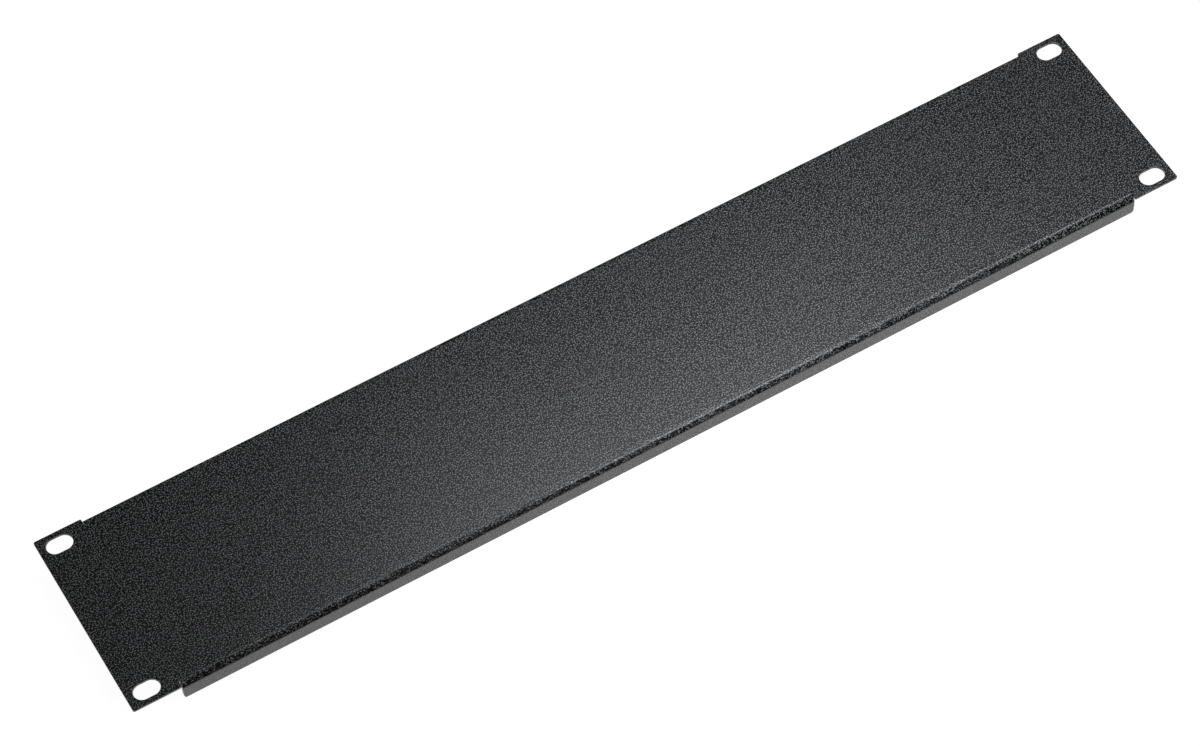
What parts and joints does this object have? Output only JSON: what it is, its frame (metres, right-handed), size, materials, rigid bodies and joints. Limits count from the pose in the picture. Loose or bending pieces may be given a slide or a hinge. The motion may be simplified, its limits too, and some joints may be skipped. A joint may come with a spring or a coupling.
{
  "type": "rack blanking panel",
  "caption": "Long flat panel of folded sheet steel with slotted ears and a short flange along each long side, black textured coat; covers empty rack space.",
  "frame": {"origin": "middle of the four screw slots, on the rear face of the ears that meets the rack rails", "axes": "+X along the panel's length, +Y towards its top edge, +Z out of the front face; the panel lies face up on the free edges of its flanges"},
  "size_m": [0.4826, 0.0882, 0.01],
  "materials": {
    "powder_coat": "black powder coat with a fine texture, satin"
  },
  "bodies": {
    "root": {"blanking_panel": "powder_coat"}
  },
  "joints": []
}
